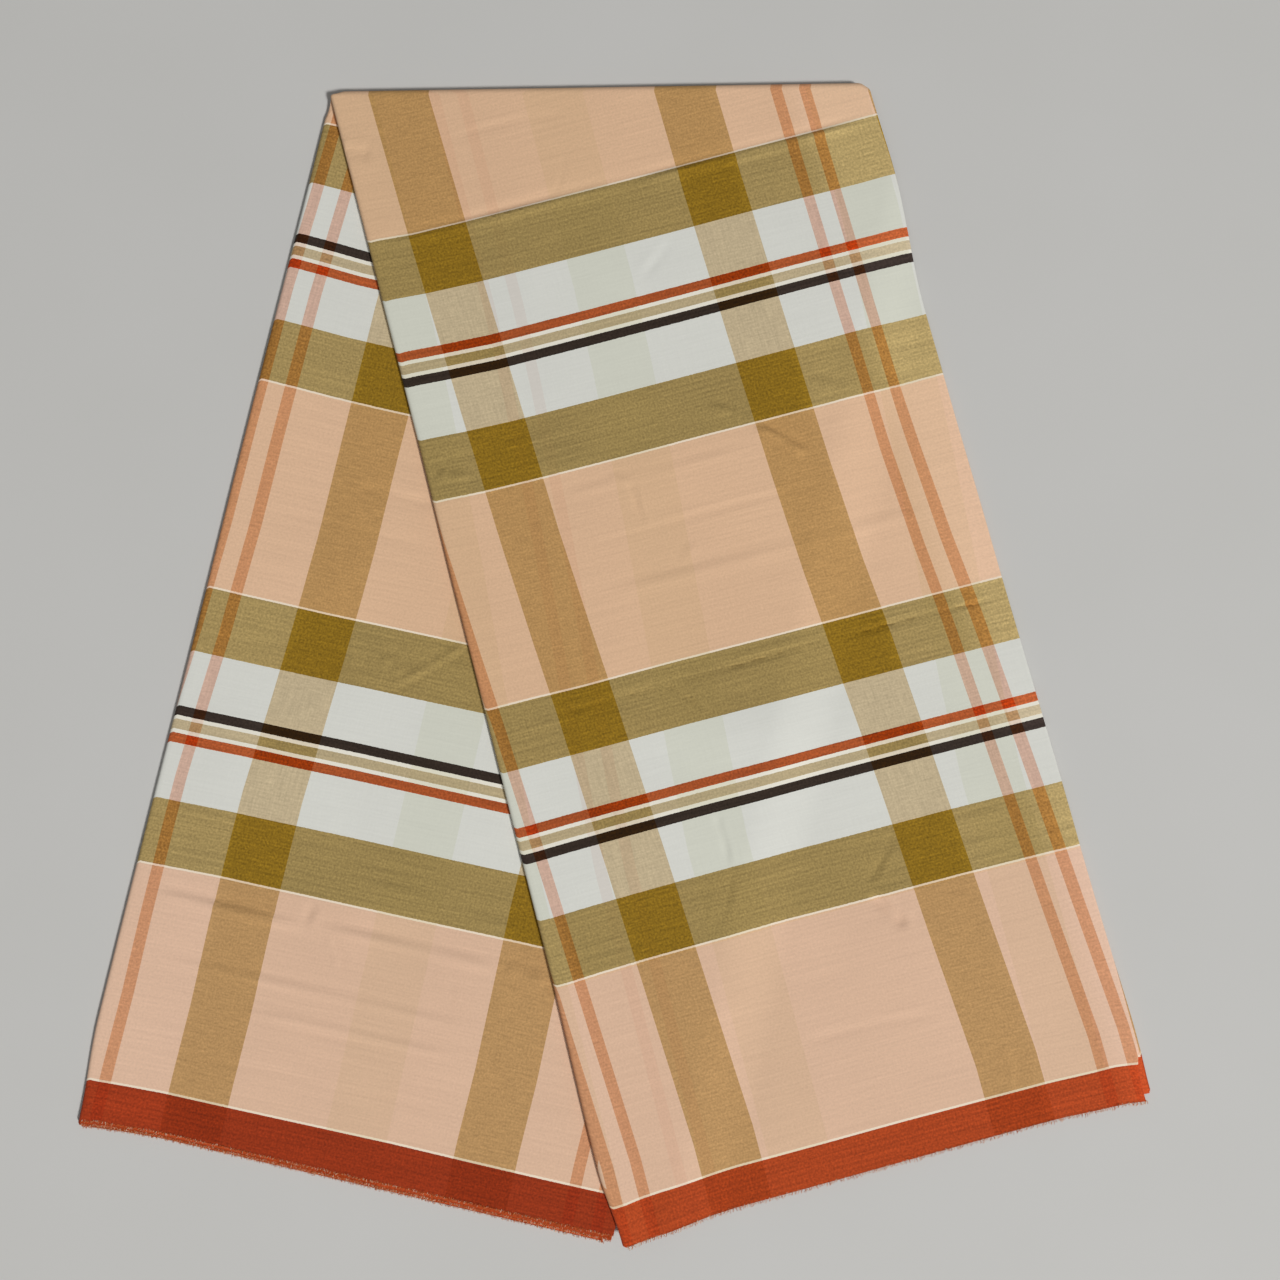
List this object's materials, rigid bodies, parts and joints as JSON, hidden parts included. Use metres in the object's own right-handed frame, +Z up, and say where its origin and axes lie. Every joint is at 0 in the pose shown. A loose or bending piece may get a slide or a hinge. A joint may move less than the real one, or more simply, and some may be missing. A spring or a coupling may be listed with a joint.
{
  "type": "lungi",
  "caption": "Thin checked cotton lungi, folded lengthwise into a flat strip and folded over once so that two leaves spread, lying on the floor.",
  "frame": {"origin": "middle of the footprint, on the surface that the folded cloth lies on", "axes": "+Z up from the surface, +Y from the hems towards the fold-over, +X to the right of someone who faces +Y"},
  "size_m": [0.5488, 0.6052, 0.0093],
  "materials": {
    "checked_cotton": "thin plain-woven cotton in peach, tan, olive, white and rust checks, matt",
    "cotton_edges": "ply edges of the same cotton, rust at the selvedges, slightly frayed"
  },
  "bodies": {
    "root": {"front_leaf": "checked_cotton", "back_leaf": "checked_cotton", "inner_plies": "cotton_edges"}
  },
  "joints": []
}
